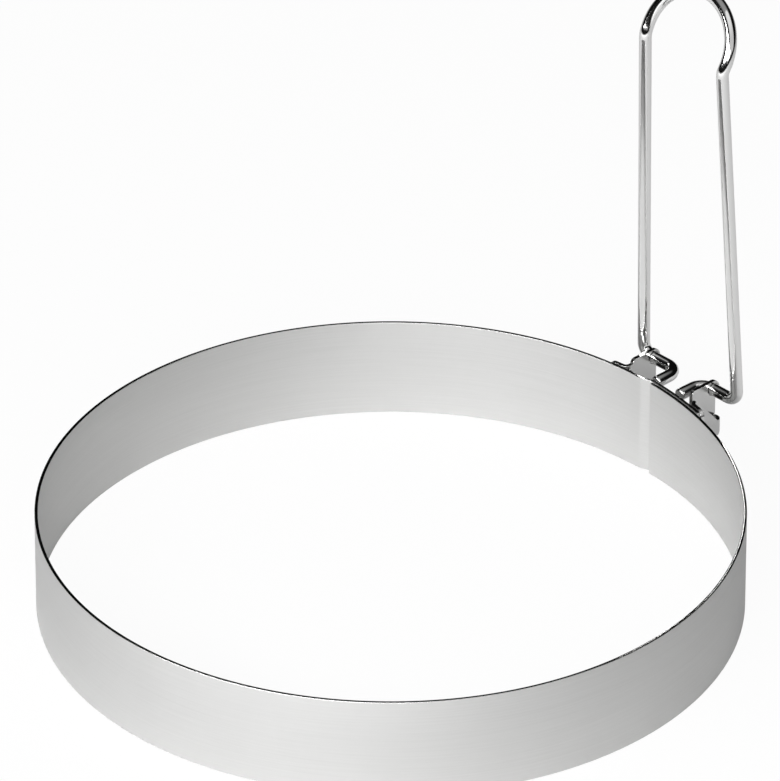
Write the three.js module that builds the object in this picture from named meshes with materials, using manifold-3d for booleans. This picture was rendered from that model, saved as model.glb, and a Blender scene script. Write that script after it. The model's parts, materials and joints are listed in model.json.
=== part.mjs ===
// Egg ring: a band of thin sheet steel closed by a joggled lap, a folded hinge bracket welded on
// over the lap, and one bent wire that is the handle and folds outward in the bracket's two eyes.
// Sizes are in millimetres and degrees. +Z is up, and the origin is the middle of the band's foot.

import * as THREE from 'three';
import { mergeVertices } from 'three/addons/utils/BufferGeometryUtils.js';
import Module from 'manifold-3d';

const wasm = await Module();
wasm.setup();

// Band: one strip whose outer end steps out and laps over its inner end.
const bandDiameter = 100;
const bandHeight = 15.2;
const bandSheet = 0.5;
const lapLength = 10.4;
const lapGap = 0.1;
const joggleLength = 2.4;
const lapOffset = -1.95;

// Hinge bracket: one strip, folded as flange, ear, middle plate, ear and flange.
// Its ears stand square to the wire's axis. The lap under one side turns it a little out of true.
const hingeAzimuth = 43.7;
const bracketShift = -2.97;
const bracketSheet = 0.6;
const bracketHeight = 7.6;
const earSpacing = 12;
const earReach = 6.2;
const earFoldGap = 0.85;
const earFoldHeight = 2.6;
const earCorner = 1;
const flangeLength = 2.4;
const flangeCorner = 1.2;
const bendRadius = 0.5;
const eyeWall = 0.3;
const eyeNeck = 0.5;
const seatGap = 0.15;

// Pivot: the wire's axis in the two eyes.
const pivotReach = 5.6;
const pivotDrop = 0.6;
const pivotClearance = 0.1;
const stopGap = 0.1;

// Wire handle: hooked ends, two legs and a round loop that leans outward.
const wireDiameter = 1.8;
const legLength = 54.5;
const legLean = 2.6;
const neckSpacing = 15.25;
const loopBulge = 0.14;
const loopTilt = 27.4;
const hookBend = 1.7;
const legBend = 1.6;
const neckBend = 2.5;
const sidePlay = 1.7;

// Facets.
const bandStep = 3;
const bracketStep = 1.5;
const bendSteps = 8;
const boreSides = 24;
const wireSides = 12;
const loopSteps = 28;

// Worked-out sizes that the pieces share.
const bandRadius = bandDiameter / 2;
const lapStep = bandSheet + lapGap;
const plateRadius = bandRadius + lapStep + seatGap;
const bracketFoot = bandHeight - bracketHeight;
const foldTop = bracketFoot + earFoldHeight;
const foldX = bandRadius + earReach;
const foldHalf = (bracketSheet + earFoldGap) / 2;
const earMiddle = earSpacing / 2;
const earInner = earMiddle - foldHalf - bracketSheet / 2;
const earOuter = earMiddle + foldHalf + bracketSheet / 2;
const wireRadius = wireDiameter / 2;
const boreRadius = wireRadius + pivotClearance;
const eyeRadius = boreRadius + eyeWall;
const pivotX = bandRadius + pivotReach;
const pivotZ = bandHeight - pivotDrop;
const plateTop = pivotZ - wireRadius - stopGap;
const eyesY = bracketShift + foldHalf;
const handleY = eyesY - sidePlay;

const polished = new THREE.MeshStandardMaterial({ color: 0xc9cac8, roughness: 0.15, metalness: 1 });
const satin = new THREE.MeshStandardMaterial({ color: 0xc4c5c3, roughness: 0.35, metalness: 1 });

const radians = THREE.MathUtils.degToRad;

function polar(radius, degrees) {
  return new THREE.Vector2(radius * Math.cos(radians(degrees)), radius * Math.sin(radians(degrees)));
}

// Degrees from one end to the other, with every whole multiple of the step between them.
function anglesBetween(from, to, step) {
  const turn = Math.sign(to - from);
  const first = turn > 0 ? Math.floor(from / step) + 1 : Math.ceil(from / step) - 1;
  const angles = [from];
  for (let k = first; turn * (to - k * step) > 1e-6; k += turn) {
    angles.push(k * step);
  }
  angles.push(to);
  return angles;
}

// Points of a round bend about a centre, ends included.
function bend(centre, radius, from, to, steps) {
  const points = [];
  for (let i = 0; i <= steps; i += 1) {
    points.push(polar(radius, from + (to - from) * i / steps).add(centre));
  }
  return points;
}

// Outline of a strip of sheet that follows a middle line, with square ends.
function stripOutline(middle, sheet) {
  const left = [];
  const right = [];
  middle.forEach((point, i) => {
    const before = middle[i - 1] ?? point.clone().multiplyScalar(2).sub(middle[1]);
    const after = middle[i + 1] ?? point.clone().multiplyScalar(2).sub(middle[i - 1]);
    const arriving = point.clone().sub(before).normalize();
    const leaving = after.clone().sub(point).normalize();
    const along = arriving.clone().add(leaving).normalize();
    const side = new THREE.Vector2(-along.y, along.x).multiplyScalar(sheet / 2 / along.dot(leaving));
    left.push(point.clone().add(side));
    right.push(point.clone().sub(side));
  });
  return new THREE.Shape([...right, ...left.reverse()]);
}

function extrude(shape, depth) {
  return new THREE.ExtrudeGeometry(shape, { depth, bevelEnabled: false, curveSegments: bendSteps });
}

// An outline drawn in the radial plane, X outward and Z up, as a slab between two places along Y.
function radialSlab(shape, fromY, toY) {
  return extrude(shape, toY - fromY).rotateX(Math.PI / 2).translate(0, toY, 0);
}

// An outline drawn in the tangent plane, Y along the wall and Z up, as a slab between two radii.
function tangentSlab(shape, fromX, toX) {
  return extrude(shape, toX - fromX).rotateX(Math.PI / 2).rotateZ(Math.PI / 2).translate(fromX, 0, 0);
}

// Solids for joining and cutting, and the way back to a geometry.
function toSolid(geometry) {
  const bare = geometry.clone();
  bare.deleteAttribute('normal');
  bare.deleteAttribute('uv');
  const merged = mergeVertices(bare, 1e-5);
  const vertProperties = new Float32Array(merged.attributes.position.array);
  const triVerts = new Uint32Array(merged.index.array);
  return new wasm.Manifold(new wasm.Mesh({ numProp: 3, vertProperties, triVerts }));
}

function toGeometry(solid) {
  const { vertProperties, triVerts } = solid.getMesh();
  const geometry = new THREE.BufferGeometry();
  geometry.setAttribute('position', new THREE.BufferAttribute(vertProperties, 3));
  geometry.setIndex(new THREE.BufferAttribute(triVerts, 1));
  geometry.computeVertexNormals();
  return geometry;
}

// The band starts at its inner end, runs once round, steps out and ends over its own start.
function makeBand() {
  const middleRadius = bandRadius - bandSheet / 2;
  const degreesPerLength = THREE.MathUtils.radToDeg(1 / bandRadius);
  const start = hingeAzimuth + lapOffset * degreesPerLength;
  const stepEnd = start - 360;
  const stepStart = stepEnd + joggleLength * degreesPerLength;
  const end = stepEnd - lapLength * degreesPerLength;
  const middle = anglesBetween(start, stepStart, bandStep).map((a) => polar(middleRadius, a));
  for (let i = 1; i < bendSteps; i += 1) {
    const out = lapStep * THREE.MathUtils.smoothstep(i, 0, bendSteps);
    middle.push(polar(middleRadius + out, stepStart + (stepEnd - stepStart) * i / bendSteps));
  }
  middle.push(...anglesBetween(stepEnd, end, bracketStep).map((a) => polar(middleRadius + lapStep, a)));
  return extrude(stripOutline(middle, bandSheet), bandHeight);
}

// Middle line of one ear and its flange, seen from above: out along the inner leaf, round the fold,
// back along the outer leaf and on along the wall.
function earLine(flangeRadius, earY) {
  const turn = bendRadius + bracketSheet / 2;
  const root = (wall, y) => {
    const angle = THREE.MathUtils.radToDeg(Math.asin(y / (wall + turn)));
    return { angle, centre: polar(wall + turn, angle) };
  };
  const inner = root(plateRadius + bracketSheet / 2, earY - foldHalf - turn);
  const outer = root(flangeRadius, earY + foldHalf + turn);
  const fold = new THREE.Vector2(foldX - foldHalf - bracketSheet / 2, earY);
  const flangeEnd = outer.angle + THREE.MathUtils.radToDeg(flangeLength / flangeRadius);
  return {
    rootAngle: inner.angle,
    endY: (flangeRadius - bracketSheet / 2) * Math.sin(radians(flangeEnd)),
    points: [
      ...bend(inner.centre, turn, 180 + inner.angle, 90, bendSteps),
      ...bend(fold, foldHalf, -90, 90, bendSteps),
      ...bend(outer.centre, turn, 270, 180 + outer.angle, bendSteps),
      ...anglesBetween(outer.angle, flangeEnd, bracketStep).slice(1).map((a) => polar(flangeRadius, a)),
    ],
  };
}

// Side view of a plain leaf: a rounded lower corner, the fold, and a top edge that slopes up to its root.
function plainLeaf(rootTop) {
  const leaf = new THREE.Shape();
  leaf.moveTo(0, bracketFoot);
  leaf.lineTo(foldX - earCorner, bracketFoot);
  leaf.absarc(foldX - earCorner, bracketFoot + earCorner, earCorner, -Math.PI / 2, 0, false);
  leaf.lineTo(foldX, foldTop);
  leaf.lineTo(plateRadius + bracketSheet, rootTop);
  leaf.lineTo(0, rootTop);
  return leaf;
}

// Side view of the lobe that stands up flat from one leaf: a neck, a round end about the eye, and a
// level top with its inner corner rounded down to the height of the band.
function eyeLobe() {
  const rootX = plateRadius + bracketSheet;
  const lobeTop = pivotZ + eyeRadius;
  const lobeCorner = lobeTop - bandHeight;
  const lobe = new THREE.Shape();
  lobe.moveTo(rootX, foldTop);
  lobe.lineTo(pivotX + eyeNeck, foldTop);
  lobe.absarc(pivotX, pivotZ, eyeRadius, -Math.acos(eyeNeck / eyeRadius), Math.PI / 2, false);
  lobe.absarc(rootX + lobeCorner, bandHeight, lobeCorner, Math.PI / 2, Math.PI, false);
  return lobe;
}

function plateFace() {
  const corners = [[-1, bracketFoot], [1, bracketFoot], [1, plateTop], [-1, plateTop]];
  return new THREE.Shape(corners.map(([side, z]) => new THREE.Vector2(bracketShift + side * earInner, z)));
}

// A flange on one side, +1 or -1 along Y, with its two outer corners rounded.
function flangeFace(side, endY) {
  const startY = earOuter + side * bracketShift;
  const corner = (z) => new THREE.Vector2(endY - flangeCorner, z);
  const outline = [
    new THREE.Vector2(startY, bracketFoot),
    ...bend(corner(bracketFoot + flangeCorner), flangeCorner, -90, 0, bendSteps),
    ...bend(corner(bandHeight - flangeCorner), flangeCorner, 0, 90, bendSteps),
    new THREE.Vector2(startY, bandHeight),
  ];
  return new THREE.Shape(outline.map((p) => new THREE.Vector2(side * p.x, p.y)));
}

// A leaf of both ears, between two distances from the middle of the bracket.
function leafPair(shape, near, far) {
  return [
    radialSlab(shape, bracketShift + near, bracketShift + far),
    radialSlab(shape, bracketShift - far, bracketShift - near),
  ];
}

// The strip is bent first, and its edges are then trimmed to the outline of each of its faces.
// The flange at -Y and the plate lie on the lap, and the flange at +Y lies on the band beside it.
// The lobe with the eye stands on the leaf at +Y of each ear.
function makeBracket() {
  const onLap = earLine(plateRadius + bracketSheet / 2, earMiddle - bracketShift);
  const onBand = earLine(bandRadius + seatGap + bracketSheet / 2, earMiddle + bracketShift);
  const plate = anglesBetween(-onLap.rootAngle, onBand.rootAngle, bracketStep).slice(1, -1);
  const middle = [
    ...onLap.points.map((p) => new THREE.Vector2(p.x, -p.y)).reverse(),
    ...plate.map((a) => polar(plateRadius + bracketSheet / 2, a)),
    ...onBand.points,
  ];
  const strip = extrude(stripOutline(middle, bracketSheet), bracketHeight).translate(0, 0, bracketFoot);
  const faces = [
    tangentSlab(plateFace(), 0, foldX),
    ...leafPair(plainLeaf(plateTop), earInner, earMiddle),
    ...leafPair(plainLeaf(bandHeight), earMiddle, earOuter),
    tangentSlab(flangeFace(1, onBand.endY), 0, foldX),
    tangentSlab(flangeFace(-1, onLap.endY), 0, foldX),
  ];
  const lobes = [1, -1].map((side) => {
    const leafY = eyesY + side * earMiddle;
    return radialSlab(eyeLobe(), leafY - bracketSheet / 2, leafY + bracketSheet / 2);
  });
  const join = (solids) => solids.map(toSolid).reduce((whole, solid) => whole.add(solid));
  const bore = new THREE.CylinderGeometry(boreRadius, boreRadius, earSpacing * 2, boreSides);
  bore.translate(pivotX, eyesY, pivotZ);
  const folded = toSolid(strip).intersect(join(faces));
  return toGeometry(folded.add(join(lobes)).subtract(toSolid(bore)));
}

// A wire's centre line, given as stations: close together in the bends, far apart on the straights.
class WireLine extends THREE.Curve {
  constructor(stations) {
    super();
    this.stations = stations;
  }

  getPointAt(u, target = new THREE.Vector3()) {
    return target.copy(this.stations[Math.round(u * (this.stations.length - 1))]);
  }

  getTangentAt(u, target = new THREE.Vector3()) {
    const i = Math.round(u * (this.stations.length - 1));
    const here = this.stations[i];
    const before = this.stations[i - 1] ?? here;
    const after = this.stations[i + 1] ?? here;
    target.copy(here).sub(before).normalize();
    return target.add(after.clone().sub(here).normalize()).normalize();
  }
}

// Points of a corner of the wire, rounded to a bend radius.
function roundCorner(before, corner, after, radius) {
  const back = before.clone().sub(corner).normalize();
  const on = after.clone().sub(corner).normalize();
  const half = back.angleTo(on) / 2;
  const inward = back.clone().add(on).normalize();
  const centre = corner.clone().addScaledVector(inward, radius / Math.sin(half));
  const from = corner.clone().addScaledVector(back, radius / Math.tan(half)).sub(centre);
  const to = corner.clone().addScaledVector(on, radius / Math.tan(half)).sub(centre);
  const axis = from.clone().cross(to).normalize();
  const points = [];
  for (let i = 0; i <= bendSteps; i += 1) {
    const turned = from.clone().applyAxisAngle(axis, from.angleTo(to) * i / bendSteps);
    points.push(turned.add(centre));
  }
  return points;
}

// The handle lies at the end of its side play, where one bend of each half meets its eye.
// Its hooked ends lie level on the plate's top edge, which holds it from falling inward.
function makeHandle() {
  const hookHalf = earMiddle - hookBend - sidePlay;
  const legHalf = earMiddle + legBend + sidePlay;
  const neckHalf = neckSpacing / 2;
  const loopRadius = neckHalf + loopBulge;
  const loopDrop = Math.asin(Math.sqrt(loopRadius ** 2 - neckHalf ** 2) / loopRadius);
  const topX = pivotX - legLength * Math.sin(radians(legLean));
  const neckZ = pivotZ + legLength * Math.cos(radians(legLean));
  const loopUp = new THREE.Vector3(Math.sin(radians(loopTilt)), 0, Math.cos(radians(loopTilt)));
  const loopCentre = new THREE.Vector3(topX, handleY, neckZ);
  loopCentre.addScaledVector(loopUp, loopRadius * Math.sin(loopDrop));

  const at = (x, y, z) => new THREE.Vector3(x, y + handleY, z);
  const onLoop = (angle) => {
    const across = new THREE.Vector3(0, loopRadius * Math.cos(angle), 0);
    return loopCentre.clone().add(across).addScaledVector(loopUp, loopRadius * Math.sin(angle));
  };
  const halfWire = (side) => {
    const tip = at(plateRadius + seatGap, side * hookHalf, pivotZ);
    const hook = at(pivotX, side * hookHalf, pivotZ);
    const foot = at(pivotX, side * legHalf, pivotZ);
    const neck = at(topX, side * neckHalf, neckZ);
    const slope = new THREE.Vector3(0, side * Math.sin(loopDrop), 0).addScaledVector(loopUp, Math.cos(loopDrop));
    return [
      tip,
      ...roundCorner(tip, hook, foot, hookBend),
      ...roundCorner(hook, foot, neck, legBend),
      ...roundCorner(foot, neck, neck.clone().add(slope), neckBend),
    ];
  };
  const near = halfWire(1);
  const far = halfWire(-1).reverse();
  const neckEnd = near.at(-1).clone().sub(loopCentre);
  const first = Math.atan2(neckEnd.dot(loopUp), neckEnd.y);
  const loop = [];
  for (let i = 1; i < loopSteps; i += 1) {
    loop.push(onLoop(first + (Math.PI - 2 * first) * i / loopSteps));
  }
  const stations = [...near, ...loop, ...far];
  const section = new THREE.Shape(bend(new THREE.Vector2(), wireRadius, 0, 360 - 360 / wireSides, wireSides - 1));
  return new THREE.ExtrudeGeometry(section, {
    steps: stations.length - 1,
    extrudePath: new WireLine(stations),
    bevelEnabled: false,
  });
}

function named(name, geometry, material) {
  const mesh = new THREE.Mesh(geometry, material);
  mesh.name = name;
  return mesh;
}

const hinge = new THREE.Group();
hinge.rotation.z = radians(hingeAzimuth);
hinge.add(named('hinge_bracket', makeBracket(), polished));
hinge.add(named('wire_handle', makeHandle(), polished));

const eggRing = new THREE.Group();
eggRing.add(named('ring_band', makeBand(), satin));
eggRing.add(hinge);

export default eggRing;
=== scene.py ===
"""Egg ring with a folding wire handle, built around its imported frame.

The band is rolled by spinning a thin section, the hinge bracket is folded from an extruded strip,
and the handle is bent by extruding and spinning a round section. Lengths are in metres.
"""

import json
import math

import bmesh
import bpy
from bpy.props import FloatProperty, FloatVectorProperty, PointerProperty
from mathutils import Matrix, Vector


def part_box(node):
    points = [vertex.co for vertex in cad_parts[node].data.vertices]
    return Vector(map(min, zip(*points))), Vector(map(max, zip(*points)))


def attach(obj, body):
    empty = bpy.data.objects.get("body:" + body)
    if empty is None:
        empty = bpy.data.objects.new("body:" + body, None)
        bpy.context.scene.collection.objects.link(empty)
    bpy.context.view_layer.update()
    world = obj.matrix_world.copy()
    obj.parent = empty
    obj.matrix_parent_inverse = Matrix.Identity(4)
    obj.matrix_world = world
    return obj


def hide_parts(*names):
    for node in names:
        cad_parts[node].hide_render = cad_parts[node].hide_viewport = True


bl_info = {
    "name": "Egg Ring",
    "version": (1, 0, 0),
    "blender": (4, 5, 0),
    "location": "View3D > Sidebar > Egg Ring",
    "description": "A lapped steel band, a folded hinge bracket and a bent wire handle",
    "category": "Object",
}

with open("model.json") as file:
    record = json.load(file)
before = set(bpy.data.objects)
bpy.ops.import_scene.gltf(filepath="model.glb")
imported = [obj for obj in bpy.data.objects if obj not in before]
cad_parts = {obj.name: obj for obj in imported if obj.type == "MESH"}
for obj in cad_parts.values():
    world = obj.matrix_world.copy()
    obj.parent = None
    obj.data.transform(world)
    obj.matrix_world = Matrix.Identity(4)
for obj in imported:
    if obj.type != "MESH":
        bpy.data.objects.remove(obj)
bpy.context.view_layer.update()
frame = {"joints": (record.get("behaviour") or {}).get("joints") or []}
BAND_LOW, BAND_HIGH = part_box("ring_band")

# The hinge stands where the frame's joint is: X outward, Y along the wire's axis, Z up.
FOLD = frame["joints"][0]
FOLD_AXIS = Vector(FOLD["axis"]).normalized()
FOLD_POINT = Vector(FOLD["pos_m"])
OUTWARD = FOLD_AXIS.cross(Vector((0, 0, 1)))
HINGE_AZIMUTH = math.atan2(OUTWARD.y, OUTWARD.x)
PIVOT_X = FOLD_POINT.dot(OUTWARD)
PIVOT_Z = FOLD_POINT.z
EYES_Y = FOLD_POINT.dot(FOLD_AXIS)

MM = 0.001

# Fineness of the round stretches.
BAND_STEPS = 360
BEND_STEPS = 12
LEAST_BEND_STEPS = 4
LOOP_STEPS = 40
EDGE_STEPS = 4
WIRE_SIDES = 32
EYE_SIDES = 48
WELD_CUTS = 40
FLOOR_SIDES = 64

# Half of a weld mark's radius is flat, and half of it slopes.
WELD_SLOPE = 0.5

# The wire's two halves join within this distance. Edges are sharp, or deburred, from these angles on.
JOIN_DISTANCE = 0.01 * MM
SHARP_ANGLE = math.radians(50)
DEBURR_ANGLE = math.radians(60)

# How far the grain changes the gloss, how strongly it stands out, and how marks darken the steel.
GRAIN_CONTRAST = 0.15
GRAIN_STRENGTH = 0.2
MARKS_AMOUNT = 0.6
MARKS_SHADE = 0.94

# The grain spreads reflections along this line. It is nearly plumb, so that level faces have one too.
SPREAD_LINE = (0.01, 0.02, 1)

# The floor reaches past every view, and lies a hair under the ring's foot.
FLOOR_RADIUS = 8
FLOOR_DROP = 0.05 * MM


def size(name, millimetres, description):
    """A length property, given in millimetres and kept in metres."""
    return FloatProperty(
        name=name, description=description, default=millimetres * MM, unit="LENGTH", subtype="DISTANCE"
    )


def turn(name, degrees, description):
    """An angle property, given in degrees and kept in radians."""
    radians = math.radians(degrees)
    return FloatProperty(
        name=name, description=description, default=radians, unit="ROTATION", subtype="ANGLE"
    )


def share(name, value, description):
    """A plain number from nought to one."""
    return FloatProperty(
        name=name, description=description, default=value, min=0, max=1, subtype="FACTOR"
    )


def watts(name, power, description):
    """A lamp's power."""
    return FloatProperty(name=name, description=description, default=power, min=0, unit="POWER")


def tint(name, colour, description):
    """A colour property."""
    return FloatVectorProperty(
        name=name, description=description, default=colour, min=0, max=1, size=3, subtype="COLOR"
    )


class BandSettings(bpy.types.PropertyGroup):
    """Sizes of the rolled band and its lap."""

    diameter: size("Diameter", (BAND_HIGH.x - BAND_LOW.x) / MM, "Outside diameter of the band")
    height: size("Height", BAND_HIGH.z / MM, "Height of the band")
    sheet: size("Sheet", 0.5, "Thickness of the band's sheet")
    edge_round: size("Edge round", 0.12, "Radius of the deburred edges")
    lap_length: size("Lap length", 10.4, "How far the outer end laps over the inner end")
    lap_gap: size("Lap gap", 0.1, "Gap between the two layers of the lap")
    joggle_length: size("Joggle length", 2.4, "Length of the step out to the lap")
    lap_offset: size("Lap offset", -1.95, "Place of the inner end, measured from the hinge's plane")


class BracketSettings(bpy.types.PropertyGroup):
    """Sizes of the folded hinge bracket."""

    sheet: size("Sheet", 0.6, "Thickness of the bracket's sheet")
    height: size("Height", 7.6, "Height of the strip, down from the band's rim")
    ear_spacing: size("Ear spacing", 12, "Distance between the middles of the two ears")
    ear_reach: size("Ear reach", 6.2, "How far the ears' folds stand out from the band")
    fold_gap: size("Fold gap", 0.85, "Gap between the two leaves of an ear")
    fold_height: size("Fold height", 2.6, "Height of the fold above the bracket's foot")
    ear_corner: size("Ear corner", 1, "Radius of the ears' lower corners")
    flange_length: size("Flange length", 2.4, "Length of the flanges on the wall")
    flange_corner: size("Flange corner", 1.2, "Radius of the flanges' corners")
    bend_radius: size("Bend radius", 0.5, "Inside radius of the bends at the wall")
    eye_wall: size("Eye wall", 0.3, "Sheet left round the bore of an eye")
    eye_neck: size("Eye neck", 0.5, "How far the neck under an eye stands out past the wire's axis")
    eye_clearance: size("Eye clearance", 0.1, "Radial clearance of the wire in an eye")
    seat_gap: size("Seat gap", 0.15, "Gap between the bracket and what it is welded to")
    stop_gap: size("Stop gap", 0.1, "Gap between the hooked ends and the plate's top edge")
    slit: size("Slit", 0.1, "Height of the slit between a fold and the lobe above it")
    weld_size: size("Weld size", 1.7, "Diameter of the marks that the spot welds leave")
    weld_depth: size("Weld depth", 0.12, "Depth of those marks")
    weld_spacing: size("Weld spacing", 4.6, "Distance between the two welds on the plate")
    edge_round: size("Edge round", 0.07, "Radius of the deburred edges")


class HandleSettings(bpy.types.PropertyGroup):
    """Sizes of the bent wire handle."""

    diameter: size("Diameter", 1.8, "Diameter of the wire")
    leg_length: size("Leg length", 54.5, "Length of the legs, from the axis to the necks")
    leg_lean: turn("Leg lean", 2.6, "How far the legs lean in over the ring")
    neck_spacing: size("Neck spacing", 15.25, "Distance between the two necks under the loop")
    loop_flare: turn("Loop flare", 5.8, "Angle at which the loop spreads as it leaves the necks")
    loop_tilt: turn("Loop tilt", 27.4, "How far the loop leans outward")
    hook_set: size("Hook set", 1.95, "How far the hooked ends stand in from the ends of the side play")
    hook_bend: size("Hook bend", 2.1, "Bend radius of the hooked ends")
    leg_set: size("Leg set", 1.75, "How far the legs stand out from the ends of the side play")
    leg_bend: size("Leg bend", 1.85, "Bend radius at the feet of the legs")
    neck_bend: size("Neck bend", 2.5, "Bend radius at the necks")
    side_play: size("Side play", 1.7, "How far the handle is slid along its axis")
    tip_round: size("Tip round", 0.3, "Radius of the deburred wire ends")


class FinishSettings(bpy.types.PropertyGroup):
    """Colours and gloss of the three finishes."""

    satin: tint("Satin steel", (0.72, 0.72, 0.715), "Colour of the band's rolled sheet")
    satin_gloss: share("Satin roughness", 0.68, "Roughness of the band")
    satin_spread: share("Satin spread", 0.3, "How far the band's grain spreads reflections upright")
    edge_gloss: share("Edge roughness", 0.12, "Roughness of the deburred level edges")
    sheet: tint("Polished sheet", (0.7, 0.7, 0.695), "Colour of the bracket")
    sheet_gloss: share("Sheet roughness", 0.2, "Roughness of the bracket")
    wire: tint("Polished wire", (0.86, 0.86, 0.855), "Colour of the handle's wire")
    wire_gloss: share("Wire roughness", 0.08, "Roughness of the wire")


class StageSettings(bpy.types.PropertyGroup):
    """Camera, lamps and floor."""

    distance: size("Camera distance", 1500, "Distance from the camera to the middle of the ring's foot")
    elevation: turn("Camera elevation", 32.89, "How far the camera looks down")
    lens: FloatProperty(
        name="Lens", description="Focal length in millimetres", default=489.9, unit="CAMERA"
    )
    aim_rise: size("Aim rise", 29.2, "How far above the ring's middle the camera aims, in the picture")
    aim_side: size("Aim side", -0.1, "How far to the right of the ring's middle the camera aims")
    floor: tint("Floor", (0.95, 0.95, 0.95), "Colour of the floor")
    floor_white: share("Floor white", 0.95, "Share of plain white in the floor that the camera sees")
    floor_gleam: share("Floor gleam", 0.1, "Share of plain white in the floor that metal reflects")
    key_power: watts("Key lamp", 6.0, "Power of the near lamp at the front left")
    key_distance: size("Key distance", 700, "Distance of the key lamp")
    key_azimuth: turn("Key azimuth", 236, "Bearing of the key lamp, from +X towards +Y")
    key_elevation: turn("Key elevation", 34, "Height of the key lamp above the floor, as an angle")
    key_width: size("Key width", 1100, "Width of the key lamp")
    key_height: size("Key height", 160, "Height of the key lamp's face")
    fill_power: watts("Fill lamp", 3.2, "Power of the broad lamp high at the front right")
    fill_distance: size("Fill distance", 1000, "Distance of the fill lamp")
    fill_azimuth: turn("Fill azimuth", 300, "Bearing of the fill lamp")
    fill_elevation: turn("Fill elevation", 50, "Height of the fill lamp above the floor, as an angle")
    fill_width: size("Fill width", 1300, "Width and height of the fill lamp")
    walls: share("Room walls", 0.004, "Brightness of the room's dark walls")
    ceiling: share("Room ceiling", 0.3, "Brightness of the room's ceiling")
    ceiling_low: turn("Ceiling edge", 40, "Angle above the floor where the dark walls end")
    ceiling_high: turn("Ceiling full", 75, "Angle above the floor where the ceiling is brightest")


class EggRingSettings(bpy.types.PropertyGroup):
    """All the settings of the egg ring."""

    band: PointerProperty(type=BandSettings)
    bracket: PointerProperty(type=BracketSettings)
    handle: PointerProperty(type=HandleSettings)
    finish: PointerProperty(type=FinishSettings)
    stage: PointerProperty(type=StageSettings)


# Shapes


def faces_of(elements):
    """The faces among some bmesh elements."""
    return [e for e in elements if isinstance(e, bmesh.types.BMFace)]


def verts_of(elements):
    """The vertices among some bmesh elements."""
    return [e for e in elements if isinstance(e, bmesh.types.BMVert)]


def with_border(face):
    """A face with its edges and vertices, as extrude and spin want it to take the old face away."""
    return [face, *face.edges, *face.verts]


def spin_on(bm, face, centre, axis, angle, steps):
    """Carries a section on round an axis, and returns its new end face."""
    last = bmesh.ops.spin(
        bm, geom=with_border(face), cent=centre, axis=axis, angle=angle, steps=steps, use_merge=False
    )
    return faces_of(last["geom_last"])[0]


def push_on(bm, face, offset):
    """Carries a section straight on, and returns its new end face."""
    grown = bmesh.ops.extrude_face_region(bm, geom=with_border(face))["geom"]
    bmesh.ops.translate(bm, verts=verts_of(grown), vec=offset)
    return faces_of(grown)[0]


def smoothstep(t):
    """A soft rise from nought to one."""
    return t * t * (3 - 2 * t)


def roll_band(bm, band):
    """The band's thin section goes once round, steps out over its own start and ends."""
    outer = band.diameter / 2
    inner = outer - band.sheet
    corners = [(inner, 0), (outer, 0), (outer, band.height), (inner, band.height)]
    verts = [bm.verts.new((radius, 0, z)) for radius, z in corners]
    bm.faces.new(verts)
    bmesh.ops.bevel(
        bm,
        geom=verts,
        offset=band.edge_round,
        segments=EDGE_STEPS,
        profile=0.5,
        affect="VERTICES",
        material=-1,
    )
    start = HINGE_AZIMUTH + band.lap_offset / outer
    bmesh.ops.rotate(bm, verts=bm.verts, cent=(0, 0, 0), matrix=Matrix.Rotation(start, 3, "Z"))
    joggle = band.joggle_length / outer
    lap = band.lap_length / outer
    bm.faces.ensure_lookup_table()
    end = spin_on(bm, bm.faces[0], (0, 0, 0), (0, 0, 1), joggle - math.tau, BAND_STEPS)
    step_out = band.sheet + band.lap_gap
    for i in range(BEND_STEPS):
        rise = step_out * (smoothstep((i + 1) / BEND_STEPS) - smoothstep(i / BEND_STEPS))
        grown = bmesh.ops.extrude_face_region(bm, geom=with_border(end))["geom"]
        small_turn = Matrix.Rotation(-joggle / BEND_STEPS, 3, "Z")
        bmesh.ops.rotate(bm, verts=verts_of(grown), cent=(0, 0, 0), matrix=small_turn)
        end = faces_of(grown)[0]
        outward = end.calc_center_median()
        outward.z = 0
        bmesh.ops.translate(bm, verts=verts_of(grown), vec=outward.normalized() * rise)
    spin_on(bm, end, (0, 0, 0), (0, 0, 1), -lap, BEND_STEPS)


def polar(radius, angle):
    """A point seen from above, at a radius and an angle."""
    return Vector((radius * math.cos(angle), radius * math.sin(angle)))


def arc(centre, radius, start, end, steps):
    """Points of an arc, both ends included."""
    return [centre + polar(radius, start + (end - start) * i / steps) for i in range(steps + 1)]


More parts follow.
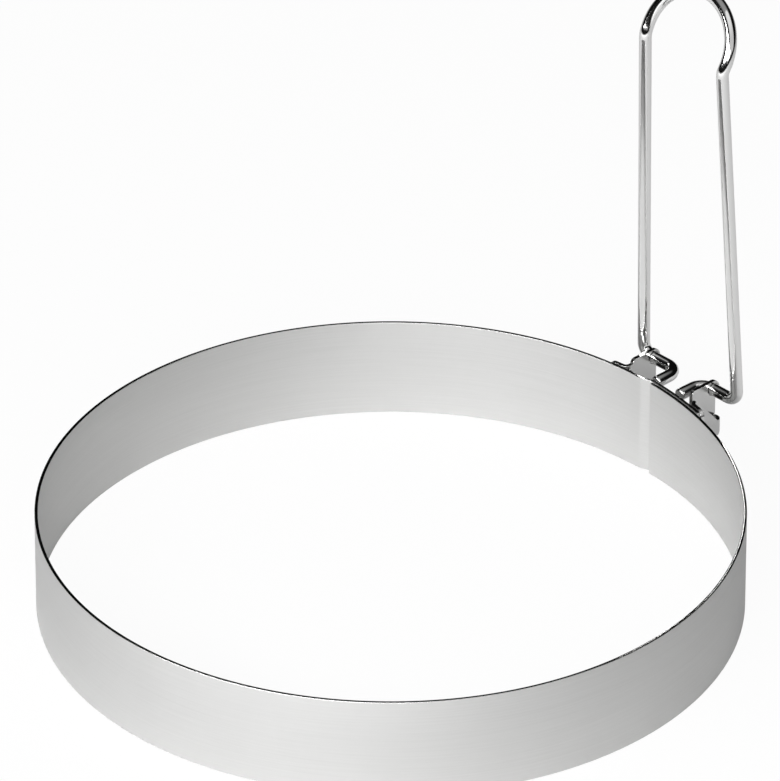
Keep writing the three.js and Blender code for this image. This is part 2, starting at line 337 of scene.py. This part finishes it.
class BracketPlan:
    """Places that the bracket's faces share, in the hinge's frame."""

    def __init__(self, settings):
        band, bracket, handle = settings.band, settings.bracket, settings.handle
        self.bracket = bracket
        self.half_sheet = bracket.sheet / 2
        self.rim = band.height
        self.foot = band.height - bracket.height
        self.fold_top = self.foot + bracket.fold_height
        self.fold_half = (bracket.sheet + bracket.fold_gap) / 2
        self.fold_x = band.diameter / 2 + bracket.ear_reach
        self.plate = band.diameter / 2 + band.sheet + band.lap_gap + bracket.seat_gap + self.half_sheet
        self.on_band = band.diameter / 2 + bracket.seat_gap + self.half_sheet
        self.bore = handle.diameter / 2 + bracket.eye_clearance
        self.eye = self.bore + bracket.eye_wall
        self.plate_top = PIVOT_Z - handle.diameter / 2 - bracket.stop_gap
        self.middle = EYES_Y - self.fold_half
        self.bend = bracket.bend_radius + self.half_sheet

    def ear(self, side):
        """Root, fold and flange of the ear at +Y (1) or -Y (-1), as columns from the plate outward."""
        bracket = self.bracket
        wall = self.on_band if side > 0 else self.plate
        ear_y = bracket.ear_spacing / 2 + side * self.middle
        inner = math.asin((ear_y - self.fold_half - self.bend) / (self.plate + self.bend))
        outer = math.asin((ear_y + self.fold_half + self.bend) / (wall + self.bend))
        flange_end = outer + bracket.flange_length / wall
        root_centre = polar(self.plate + self.bend, inner)
        root = arc(root_centre, self.bend, math.pi + inner, math.pi / 2, BEND_STEPS)
        fold_centre = Vector((self.fold_x - self.fold_half - self.half_sheet, ear_y))
        fold = arc(fold_centre, self.fold_half, -math.pi / 2, math.pi / 2, 2 * BEND_STEPS)
        bend_centre = polar(wall + self.bend, outer)
        bend_out = arc(bend_centre, self.bend, 1.5 * math.pi, math.pi + outer, BEND_STEPS)
        flange = arc(Vector((0, 0)), wall, outer, flange_end, 2 * BEND_STEPS)

        def mirrored(points):
            return [Vector((p.x, side * p.y)) for p in points]

        return {
            "plate_angle": side * inner,
            "root": [self.column(p, self.plate_top) for p in mirrored(root)],
            "fold": [self.column(p, self.fold_top) for p in mirrored(fold)],
            "flange": [self.column(p, self.rim) for p in mirrored(bend_out)]
            + [self.flange_column(p, flange[-1]) for p in mirrored(flange[1:])],
        }

    def column(self, point, top):
        """A column of the strip: place, lower end and upper end. Its foot rises round the fold."""
        corner = self.bracket.ear_corner
        past = max(0, point.x + self.half_sheet - (self.fold_x - corner))
        lift = corner - math.sqrt(max(0, corner**2 - past**2))
        return point, self.foot + lift, top

    def flange_column(self, point, end):
        """A column of a flange, whose two end corners are round."""
        corner = self.bracket.flange_corner
        to_end = (Vector((point.x, abs(point.y))) - end).length
        short = max(0, corner - to_end)
        trim = corner - math.sqrt(max(0, corner**2 - short**2))
        return point, self.foot + trim, self.rim - trim

    def plate_columns(self, start, end):
        """Columns of the middle plate between its two ears' roots."""
        points = arc(Vector((0, 0)), self.plate, start, end, 2 * BEND_STEPS)
        return [(p, self.foot, self.plate_top) for p in points[1:-1]]

    def lobe(self, leaf_y):
        """Outline of the lobe round an eye, from the fold up, over and down to the wall."""
        bracket = self.bracket
        root_x = self.plate + self.half_sheet
        top = PIVOT_Z + self.eye
        corner = top - self.rim
        low = -math.acos(bracket.eye_neck / self.eye)
        outline = [Vector((PIVOT_X + bracket.eye_neck, self.fold_top + bracket.slit))]
        outline += arc(Vector((PIVOT_X, PIVOT_Z)), self.eye, low, math.pi / 2, 2 * BEND_STEPS)
        outline += arc(Vector((root_x + corner, self.rim)), corner, math.pi / 2, math.pi, BEND_STEPS)
        return [Vector((p.x, leaf_y, p.y)) for p in outline]


def sweep_strip(bm, columns):
    """Extrudes an upright edge from column to column, and returns its first and last place."""
    point, low, high = columns[0]
    first = bm.edges.new([bm.verts.new((*point, low)), bm.verts.new((*point, high))])
    last = first
    for point, low, high in columns[1:]:
        verts = verts_of(bmesh.ops.extrude_edge_only(bm, edges=[last])["geom"])
        lower, upper = sorted(verts, key=lambda v: v.co.z)
        lower.co = (*point, low)
        upper.co = (*point, high)
        last = bm.edges.get([lower, upper])
    return first, last


def ends_of(edge):
    """Lower and upper vertex of an upright edge."""
    return sorted(edge.verts, key=lambda v: v.co.z)


def fill_eye_leaf(bm, plan, fold_edge, root_edge):
    """The flat leaf between a fold and a root, with its lobe and the bore of its eye."""
    fold_low, fold_high = ends_of(fold_edge)
    root_low, root_high = ends_of(root_edge)
    leaf_y = fold_low.co.y
    chain = [fold_high, *(bm.verts.new(p) for p in plan.lobe(leaf_y)), root_high]
    outline = [bm.edges.new(pair) for pair in zip(chain, chain[1:])]
    place = Matrix.Translation((PIVOT_X, leaf_y, PIVOT_Z)) @ Matrix.Rotation(math.pi / 2, 4, "X")
    ring = bmesh.ops.create_circle(bm, segments=EYE_SIDES, radius=plan.bore, matrix=place)["verts"]
    bore = {edge for vert in ring for edge in vert.link_edges}
    sill = bm.edges.new([fold_low, root_low])
    edges = [fold_edge, root_edge, sill, *outline, *bore]
    leaf = bmesh.ops.triangle_fill(
        bm, edges=edges, use_beauty=True, use_dissolve=True, normal=(0, 1, 0)
    )
    if not faces_of(leaf["geom"]):
        raise RuntimeError("The leaf round an eye stays open")


def press_weld(bm, bracket, place, height):
    """Presses the round, flat mark of a spot weld into the strip, towards the wall."""
    reach = bracket.weld_size / 2
    upright = [edge for edge in bm.edges if edge.verts[0].co.xy == edge.verts[1].co.xy]
    upright = [edge for edge in upright if (edge.verts[0].co.xy - place).length < reach]
    bmesh.ops.subdivide_edges(bm, edges=upright, cuts=WELD_CUTS, use_grid_fill=True)
    centre = Vector((*place, height))
    inward = Vector((*-place.normalized(), 0))
    for vert in bm.verts:
        to_rim = 1 - (vert.co - centre).length / reach
        if to_rim > 0:
            vert.co += inward * bracket.weld_depth * smoothstep(min(1, to_rim / WELD_SLOPE))


def fold_bracket(bm, settings):
    """Flange, ear, plate, ear and flange in one strip, with the eyes in the leaf at +Y of each ear."""
    plan = BracketPlan(settings)
    far, near = plan.ear(1), plan.ear(-1)
    first_run = near["flange"][::-1] + near["fold"][::-1]
    plate = plan.plate_columns(near["plate_angle"], far["plate_angle"])
    middle_run = near["root"][::-1] + plate + far["root"] + far["fold"]
    near_fold = sweep_strip(bm, first_run)[1]
    near_root, far_fold = sweep_strip(bm, middle_run)
    far_root = sweep_strip(bm, far["flange"])[0]
    fill_eye_leaf(bm, plan, near_fold, near_root)
    fill_eye_leaf(bm, plan, far_fold, far_root)
    for ear in (near, far):
        flange_middle = ear["flange"][-BEND_STEPS - 1][0]
        press_weld(bm, settings.bracket, flange_middle, (plan.foot + plan.rim) / 2)
    for side in (-1, 1):
        weld_y = plan.middle + side * settings.bracket.weld_spacing / 2
        on_plate = polar(plan.plate, math.asin(weld_y / plan.plate))
        press_weld(bm, settings.bracket, on_plate, (plan.foot + plan.plate_top) / 2)


def bend_on(bm, face, here, corner, after, radius):
    """Runs the wire straight up to a corner and spins it round. Returns the new end and its place."""
    arriving = (corner - here).normalized()
    leaving = (after - corner).normalized()
    angle = arriving.angle(leaving)
    setback = radius * math.tan(angle / 2)
    bend_start = corner - arriving * setback
    face = push_on(bm, face, bend_start - here)
    axis = arriving.cross(leaving).normalized()
    centre = bend_start + axis.cross(arriving) * radius
    steps = max(LEAST_BEND_STEPS, round(BEND_STEPS * angle / (math.pi / 2)))
    face = spin_on(bm, face, centre, axis, angle, steps)
    return face, corner + leaving * setback


def bend_handle(bm, settings):
    """Bends half of the wire, from its hooked end to the loop's top, and mirrors it."""
    band, bracket, handle = settings.band, settings.bracket, settings.handle
    plate_face = band.diameter / 2 + band.sheet + band.lap_gap + bracket.seat_gap
    hook_half = bracket.ear_spacing / 2 - handle.hook_set - handle.side_play
    leg_half = bracket.ear_spacing / 2 + handle.leg_set + handle.side_play
    neck_half = handle.neck_spacing / 2
    tip = Vector((plate_face + bracket.seat_gap, hook_half, PIVOT_Z))
    hook = Vector((PIVOT_X, hook_half, PIVOT_Z))
    foot = Vector((PIVOT_X, leg_half, PIVOT_Z))
    rise = handle.leg_length * math.cos(handle.leg_lean)
    lean = handle.leg_length * math.sin(handle.leg_lean)
    neck = Vector((PIVOT_X - lean, neck_half, PIVOT_Z + rise))
    loop_up = Vector((math.sin(handle.loop_tilt), 0, math.cos(handle.loop_tilt)))
    across = Vector((0, 1, 0))
    flare = across * math.sin(handle.loop_flare) + loop_up * math.cos(handle.loop_flare)

    place = Matrix.Translation(tip) @ Matrix.Rotation(math.pi / 2, 4, "Y")
    radius = handle.diameter / 2
    bmesh.ops.create_circle(bm, cap_ends=True, segments=WIRE_SIDES, radius=radius, matrix=place)
    bm.faces.ensure_lookup_table()
    end = bm.faces[0]
    tip_edges = list(end.edges)
    end, here = bend_on(bm, end, tip, hook, foot, handle.hook_bend)
    end, here = bend_on(bm, end, here, foot, neck, handle.leg_bend)
    end, here = bend_on(bm, end, here, neck, neck + flare, handle.neck_bend)
    loop_radius = here.y / math.cos(handle.loop_flare)
    inward = loop_up * math.sin(handle.loop_flare) - across * math.cos(handle.loop_flare)
    quarter = math.pi / 2 + handle.loop_flare
    end = spin_on(bm, end, here + inward * loop_radius, across.cross(loop_up), quarter, LOOP_STEPS)
    bmesh.ops.delete(bm, geom=[end], context="FACES_ONLY")
    bmesh.ops.bevel(
        bm,
        geom=tip_edges,
        offset=handle.tip_round,
        segments=EDGE_STEPS,
        profile=0.5,
        affect="EDGES",
        material=-1,
    )
    half = bm.verts[:] + bm.edges[:] + bm.faces[:]
    bmesh.ops.mirror(bm, geom=half, axis="Y", merge_dist=JOIN_DISTANCE)
    bmesh.ops.translate(bm, verts=bm.verts, vec=(0, EYES_Y - handle.side_play, 0))


# Finishes


def new_group(name, inputs, outputs):
    """An empty shader node group with named sockets, and its two end nodes."""
    group = bpy.data.node_groups.new(name, "ShaderNodeTree")
    for socket, kind, default in inputs:
        made = group.interface.new_socket(name=socket, in_out="INPUT", socket_type=kind)
        made.default_value = default
    for socket, kind in outputs:
        group.interface.new_socket(name=socket, in_out="OUTPUT", socket_type=kind)
    return group, group.nodes.new("NodeGroupInput"), group.nodes.new("NodeGroupOutput")


def steel_grain_group():
    """Fine grain of rolled or drawn steel: roughness and height that change along the surface."""
    group, given, result = new_group(
        "steel_grain",
        [
            ("Stretch", "NodeSocketVector", (1, 1, 1)),
            ("Smooth", "NodeSocketFloat", 0.1),
            ("Rough", "NodeSocketFloat", 0.2),
        ],
        [("Roughness", "NodeSocketFloat"), ("Height", "NodeSocketFloat")],
    )
    nodes, links = group.nodes, group.links
    place = nodes.new("ShaderNodeTexCoord")
    stretch = nodes.new("ShaderNodeMapping")
    grain = nodes.new("ShaderNodeTexNoise")
    grain.inputs["Scale"].default_value = 1
    grain.inputs["Detail"].default_value = 3
    spread = nodes.new("ShaderNodeMapRange")
    links.new(place.outputs["Object"], stretch.inputs["Vector"])
    links.new(given.outputs["Stretch"], stretch.inputs["Scale"])
    links.new(stretch.outputs["Vector"], grain.inputs["Vector"])
    links.new(grain.outputs["Fac"], spread.inputs["Value"])
    links.new(given.outputs["Smooth"], spread.inputs["To Min"])
    links.new(given.outputs["Rough"], spread.inputs["To Max"])
    links.new(spread.outputs["Result"], result.inputs["Roughness"])
    links.new(grain.outputs["Fac"], result.inputs["Height"])
    return group


def handling_group():
    """Soft, wide marks of washing and handling, as a mask."""
    group, given, result = new_group(
        "handling_marks",
        [("Scale", "NodeSocketFloat", 60.0), ("Amount", "NodeSocketFloat", 0.5)],
        [("Mask", "NodeSocketFloat")],
    )
    nodes, links = group.nodes, group.links
    place = nodes.new("ShaderNodeTexCoord")
    cloud = nodes.new("ShaderNodeTexNoise")
    cloud.inputs["Detail"].default_value = 2
    level = nodes.new("ShaderNodeMath")
    level.operation = "MULTIPLY"
    links.new(place.outputs["Object"], cloud.inputs["Vector"])
    links.new(given.outputs["Scale"], cloud.inputs["Scale"])
    links.new(cloud.outputs["Fac"], level.inputs[0])
    links.new(given.outputs["Amount"], level.inputs[1])
    links.new(level.outputs["Value"], result.inputs["Mask"])
    return group


def level_edge_group():
    """Mask of the level edges, where a sheet's rims were rubbed bright when they were deburred."""
    group, given, result = new_group(
        "level_edges",
        [("From", "NodeSocketFloat", 0.3), ("To", "NodeSocketFloat", 0.7)],
        [("Mask", "NodeSocketFloat")],
    )
    nodes, links = group.nodes, group.links
    place = nodes.new("ShaderNodeTexCoord")
    split = nodes.new("ShaderNodeSeparateXYZ")
    steep = nodes.new("ShaderNodeMath")
    steep.operation = "ABSOLUTE"
    rise = nodes.new("ShaderNodeMapRange")
    links.new(place.outputs["Normal"], split.inputs["Vector"])
    links.new(split.outputs["Z"], steep.inputs[0])
    links.new(steep.outputs["Value"], rise.inputs["Value"])
    links.new(given.outputs["From"], rise.inputs["From Min"])
    links.new(given.outputs["To"], rise.inputs["From Max"])
    links.new(rise.outputs["Result"], result.inputs["Mask"])
    return group


def shared_group(name, make):
    """A node group that is built once and then found again."""
    return bpy.data.node_groups.get(name) or make()


def steel(name, colour, roughness, edge_gloss, spread, stretch, grain_height, marks_scale):
    """A steel finish: its colour shifts a little with handling, its gloss follows the grain.

    A level grain spreads reflections up and down, by the amount of spread, and the level edges have a
    gloss of their own.
    """
    material = bpy.data.materials.new(name)
    material.use_nodes = True
    nodes, links = material.node_tree.nodes, material.node_tree.links
    shader = nodes["Principled BSDF"]
    shader.inputs["Metallic"].default_value = 1
    shader.inputs["Anisotropic"].default_value = spread
    upright = nodes.new("ShaderNodeCombineXYZ")
    for socket, value in zip(upright.inputs, SPREAD_LINE):
        socket.default_value = value
    grain = nodes.new("ShaderNodeGroup")
    grain.node_tree = shared_group("steel_grain", steel_grain_group)
    grain.inputs["Stretch"].default_value = stretch
    grain.inputs["Smooth"].default_value = roughness * (1 - GRAIN_CONTRAST)
    grain.inputs["Rough"].default_value = roughness * (1 + GRAIN_CONTRAST)
    marks = nodes.new("ShaderNodeGroup")
    marks.node_tree = shared_group("handling_marks", handling_group)
    marks.inputs["Scale"].default_value = marks_scale
    marks.inputs["Amount"].default_value = MARKS_AMOUNT
    blend = nodes.new("ShaderNodeMix")
    blend.data_type = "RGBA"
    blend.inputs["A"].default_value = (*colour, 1)
    blend.inputs["B"].default_value = (*(MARKS_SHADE * c for c in colour), 1)
    bump = nodes.new("ShaderNodeBump")
    bump.inputs["Strength"].default_value = GRAIN_STRENGTH
    bump.inputs["Distance"].default_value = grain_height
    links.new(marks.outputs["Mask"], blend.inputs["Factor"])
    links.new(blend.outputs["Result"], shader.inputs["Base Color"])
    edges = nodes.new("ShaderNodeGroup")
    edges.node_tree = shared_group("level_edges", level_edge_group)
    gloss = nodes.new("ShaderNodeMix")
    gloss.inputs["B"].default_value = edge_gloss
    links.new(edges.outputs["Mask"], gloss.inputs["Factor"])
    links.new(grain.outputs["Roughness"], gloss.inputs["A"])
    links.new(gloss.outputs["Result"], shader.inputs["Roughness"])
    links.new(grain.outputs["Height"], bump.inputs["Height"])
    links.new(bump.outputs["Normal"], shader.inputs["Normal"])
    links.new(upright.outputs["Vector"], shader.inputs["Tangent"])
    return material


def satin_steel(finish):
    """Rolled sheet: its grain runs round the band."""
    return steel(
        "satin_steel",
        colour=finish.satin,
        roughness=finish.satin_gloss,
        edge_gloss=finish.edge_gloss,
        spread=finish.satin_spread,
        stretch=(60, 60, 4000),
        grain_height=0.002 * MM,
        marks_scale=50,
    )


def polished_sheet(finish):
    """Polished sheet of the bracket: a short, fine grain."""
    return steel(
        "polished_sheet",
        colour=finish.sheet,
        roughness=finish.sheet_gloss,
        edge_gloss=finish.edge_gloss,
        spread=0,
        stretch=(900, 900, 2500),
        grain_height=0.004 * MM,
        marks_scale=300,
    )


def polished_wire(finish):
    """Bright drawn wire: faint lines along the legs."""
    return steel(
        "polished_wire",
        colour=finish.wire,
        roughness=finish.wire_gloss,
        edge_gloss=finish.wire_gloss,
        spread=0,
        stretch=(2500, 2500, 120),
        grain_height=0.002 * MM,
        marks_scale=200,
    )


# Pieces


def place_piece(name, bm, material, body, node):
    """Makes an object of a finished bmesh, gives it its finish and puts it in its node's place."""
    mesh = bpy.data.meshes.new(name)
    bm.to_mesh(mesh)
    bm.free()
    mesh.materials.append(material)
    piece = bpy.data.objects.new(name, mesh)
    bpy.context.scene.collection.objects.link(piece)
    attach(piece, body)
    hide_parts(node)
    return piece


def smooth_faces(bm):
    """Points every face outward and shades it smooth."""
    bmesh.ops.recalc_face_normals(bm, faces=bm.faces)
    for face in bm.faces:
        face.smooth = True


def check_closed(bm, name):
    """Stops the build if a solid piece has an open seam."""
    if not all(edge.is_manifold for edge in bm.edges):
        raise RuntimeError(f"{name} has an open seam")


def turn_to_hinge(bm):
    """Turns what was made in the hinge's frame into the ring's frame."""
    bmesh.ops.rotate(bm, verts=bm.verts, cent=(0, 0, 0), matrix=Matrix.Rotation(HINGE_AZIMUTH, 3, "Z"))


class EGGRING_OT_band(bpy.types.Operator):
    """Roll the thin steel band and lap its ends"""

    bl_idname = "egg_ring.band"
    bl_label = "Band"

    def execute(self, context):
        settings = context.scene.egg_ring
        bm = bmesh.new()
        roll_band(bm, settings.band)
        smooth_faces(bm)
        check_closed(bm, "The band")
        material = satin_steel(settings.finish)
        piece = place_piece("band_sheet", bm, material, "ring", "ring_band")
        piece.data.set_sharp_from_angle(angle=SHARP_ANGLE)
        return {"FINISHED"}


class EGGRING_OT_bracket(bpy.types.Operator):
    """Fold the hinge bracket from one strip of sheet"""

    bl_idname = "egg_ring.bracket"
    bl_label = "Hinge bracket"

    def execute(self, context):
        settings = context.scene.egg_ring
        bm = bmesh.new()
        fold_bracket(bm, settings)
        turn_to_hinge(bm)
        smooth_faces(bm)
        material = polished_sheet(settings.finish)
        piece = place_piece("bracket_sheet", bm, material, "ring", "hinge_bracket")
        wall = piece.modifiers.new("Sheet", "SOLIDIFY")
        wall.thickness = settings.bracket.sheet
        wall.offset = 0
        wall.use_even_offset = True
        edges = piece.modifiers.new("Deburred edges", "BEVEL")
        edges.width = settings.bracket.edge_round
        edges.segments = 2
        edges.limit_method = "ANGLE"
        edges.angle_limit = DEBURR_ANGLE
        edges.harden_normals = True
        return {"FINISHED"}


class EGGRING_OT_handle(bpy.types.Operator):
    """Bend the wire handle"""

    bl_idname = "egg_ring.handle"
    bl_label = "Wire handle"

    def execute(self, context):
        settings = context.scene.egg_ring
        bm = bmesh.new()
        bend_handle(bm, settings)
        turn_to_hinge(bm)
        smooth_faces(bm)
        check_closed(bm, "The handle")
        material = polished_wire(settings.finish)
        place_piece("handle_wire", bm, material, "handle", "wire_handle")
        return {"FINISHED"}


# Stage


def floor_material(stage):
    """A pale floor that keeps its shadows, with a share of plain white for the camera and for metal."""
    material = bpy.data.materials.new("studio_floor")
    material.use_nodes = True
    nodes, links = material.node_tree.nodes, material.node_tree.links
    shader = nodes["Principled BSDF"]
    shader.inputs["Base Color"].default_value = (*stage.floor, 1)
    shader.inputs["Roughness"].default_value = 1
    shader.inputs["Specular IOR Level"].default_value = 0
    rays = nodes.new("ShaderNodeLightPath")
    seen = nodes.new("ShaderNodeMath")
    seen.operation = "MULTIPLY"
    seen.inputs[1].default_value = stage.floor_white
    mirrored = nodes.new("ShaderNodeMath")
    mirrored.operation = "MAXIMUM"
    gleam = nodes.new("ShaderNodeMath")
    gleam.operation = "MULTIPLY_ADD"
    gleam.inputs[1].default_value = stage.floor_gleam
    white = nodes.new("ShaderNodeEmission")
    white.inputs["Strength"].default_value = 1
    blend = nodes.new("ShaderNodeMixShader")
    links.new(rays.outputs["Is Camera Ray"], seen.inputs[0])
    links.new(rays.outputs["Is Glossy Ray"], mirrored.inputs[0])
    links.new(rays.outputs["Is Transmission Ray"], mirrored.inputs[1])
    links.new(mirrored.outputs["Value"], gleam.inputs[0])
    links.new(seen.outputs["Value"], gleam.inputs[2])
    links.new(gleam.outputs["Value"], blend.inputs["Fac"])
    links.new(shader.outputs["BSDF"], blend.inputs[1])
    links.new(white.outputs["Emission"], blend.inputs[2])
    links.new(blend.outputs["Shader"], nodes["Material Output"].inputs["Surface"])
    return material


def studio_room(stage):
    """A room with dark walls and a dim ceiling, which the camera sees as plain white."""
    world = bpy.data.worlds.new("studio_room")
    world.use_nodes = True
    nodes, links = world.node_tree.nodes, world.node_tree.links
    room = nodes["Background"]
    room.inputs["Color"].default_value = (1, 1, 1, 1)
    looking = nodes.new("ShaderNodeTexCoord")
    split = nodes.new("ShaderNodeSeparateXYZ")
    rise = nodes.new("ShaderNodeMapRange")
    rise.interpolation_type = "SMOOTHSTEP"
    rise.inputs["From Min"].default_value = math.sin(stage.ceiling_low)
    rise.inputs["From Max"].default_value = math.sin(stage.ceiling_high)
    rise.inputs["To Min"].default_value = stage.walls
    rise.inputs["To Max"].default_value = stage.ceiling
    rays = nodes.new("ShaderNodeLightPath")
    seen = nodes.new("ShaderNodeMath")
    seen.operation = "MAXIMUM"
    links.new(looking.outputs["Generated"], split.inputs["Vector"])
    links.new(split.outputs["Z"], rise.inputs["Value"])
    links.new(rise.outputs["Result"], seen.inputs[0])
    links.new(rays.outputs["Is Camera Ray"], seen.inputs[1])
    links.new(seen.outputs["Value"], room.inputs["Strength"])
    return world


def bearing(distance, azimuth, elevation):
    """A point at a distance and a bearing from the middle of the ring's foot."""
    level = polar(distance * math.cos(elevation), azimuth)
    return Vector((*level, distance * math.sin(elevation)))


def look_at(holder, place, aim):
    """Puts a lamp or camera in its place, level and looking at a point."""
    holder.location = place
    holder.rotation_mode = "QUATERNION"
    holder.rotation_quaternion = (aim - place).to_track_quat("-Z", "Y")
    bpy.context.scene.collection.objects.link(holder)


def add_lamp(name, power, width, height, place):
    """A soft lamp that looks at the middle of the ring's foot."""
    lamp = bpy.data.lights.new(name, "AREA")
    lamp.energy = power
    lamp.shape = "RECTANGLE"
    lamp.size = width
    lamp.size_y = height
    holder = bpy.data.objects.new(name, lamp)
    holder.visible_camera = False
    look_at(holder, place, Vector((0, 0, 0)))


class EGGRING_OT_stage(bpy.types.Operator):
    """Set the floor, the room, the lamps and the camera"""

    bl_idname = "egg_ring.stage"
    bl_label = "Stage"

    def execute(self, context):
        stage = context.scene.egg_ring.stage
        self.lay_floor(stage)
        self.light(context.scene, stage)
        self.aim_camera(context.scene, stage)
        context.scene.view_settings.view_transform = "Standard"
        return {"FINISHED"}

    def lay_floor(self, stage):
        """A wide round floor, a hair under the ring's foot."""
        bm = bmesh.new()
        place = Matrix.Translation((0, 0, -FLOOR_DROP))
        bmesh.ops.create_circle(
            bm, cap_ends=True, segments=FLOOR_SIDES, radius=FLOOR_RADIUS, matrix=place
        )
        mesh = bpy.data.meshes.new("studio_floor")
        bm.to_mesh(mesh)
        bm.free()
        mesh.materials.append(floor_material(stage))
        floor = bpy.data.objects.new("studio_floor", mesh)
        bpy.context.scene.collection.objects.link(floor)

    def light(self, scene, stage):
        """A near lamp at the front left, a broad one high at the front right, and a dim room."""
        scene.world = studio_room(stage)
        key = bearing(stage.key_distance, stage.key_azimuth, stage.key_elevation)
        add_lamp("key_lamp", stage.key_power, stage.key_width, stage.key_height, key)
        fill = bearing(stage.fill_distance, stage.fill_azimuth, stage.fill_elevation)
        add_lamp("fill_lamp", stage.fill_power, stage.fill_width, stage.fill_width, fill)

    def aim_camera(self, scene, stage):
        """The photograph's view: a long lens, looking down past the ring's front edge."""
        camera = bpy.data.cameras.new("photo_camera")
        camera.lens = stage.lens
        holder = bpy.data.objects.new("photo_camera", camera)
        up = Vector((0, math.sin(stage.elevation), math.cos(stage.elevation)))
        place = bearing(stage.distance, -math.pi / 2, stage.elevation)
        look_at(holder, place, up * stage.aim_rise + Vector((stage.aim_side, 0, 0)))
        scene.camera = holder


class EGGRING_PT_panel(bpy.types.Panel):
    """The egg ring's pieces and settings"""

    bl_idname = "EGGRING_PT_panel"
    bl_label = "Egg Ring"
    bl_space_type = "VIEW_3D"
    bl_region_type = "UI"
    bl_category = "Egg Ring"

    def draw(self, context):
        for operator in OPERATORS:
            self.layout.operator(operator.bl_idname)
        settings = context.scene.egg_ring
        for group in (settings.band, settings.bracket, settings.handle, settings.finish, settings.stage):
            column = self.layout.box().column()
            for name in group.__annotations__:
                column.prop(group, name)


OPERATORS = (EGGRING_OT_band, EGGRING_OT_bracket, EGGRING_OT_handle, EGGRING_OT_stage)
SETTINGS = (
    BandSettings,
    BracketSettings,
    HandleSettings,
    FinishSettings,
    StageSettings,
    EggRingSettings,
)
CLASSES = (*SETTINGS, *OPERATORS, EGGRING_PT_panel)


def register():
    """Makes the classes known, and gives the scene its settings."""
    for item in CLASSES:
        bpy.utils.register_class(item)
    bpy.types.Scene.egg_ring = PointerProperty(type=EggRingSettings)


def unregister():
    """Takes the settings and the classes away again."""
    del bpy.types.Scene.egg_ring
    for item in reversed(CLASSES):
        bpy.utils.unregister_class(item)


def main():
    """Makes every piece and the stage."""
    register()
    bpy.ops.egg_ring.band()
    bpy.ops.egg_ring.bracket()
    bpy.ops.egg_ring.handle()
    bpy.ops.egg_ring.stage()


if __name__ == "__main__":
    main()
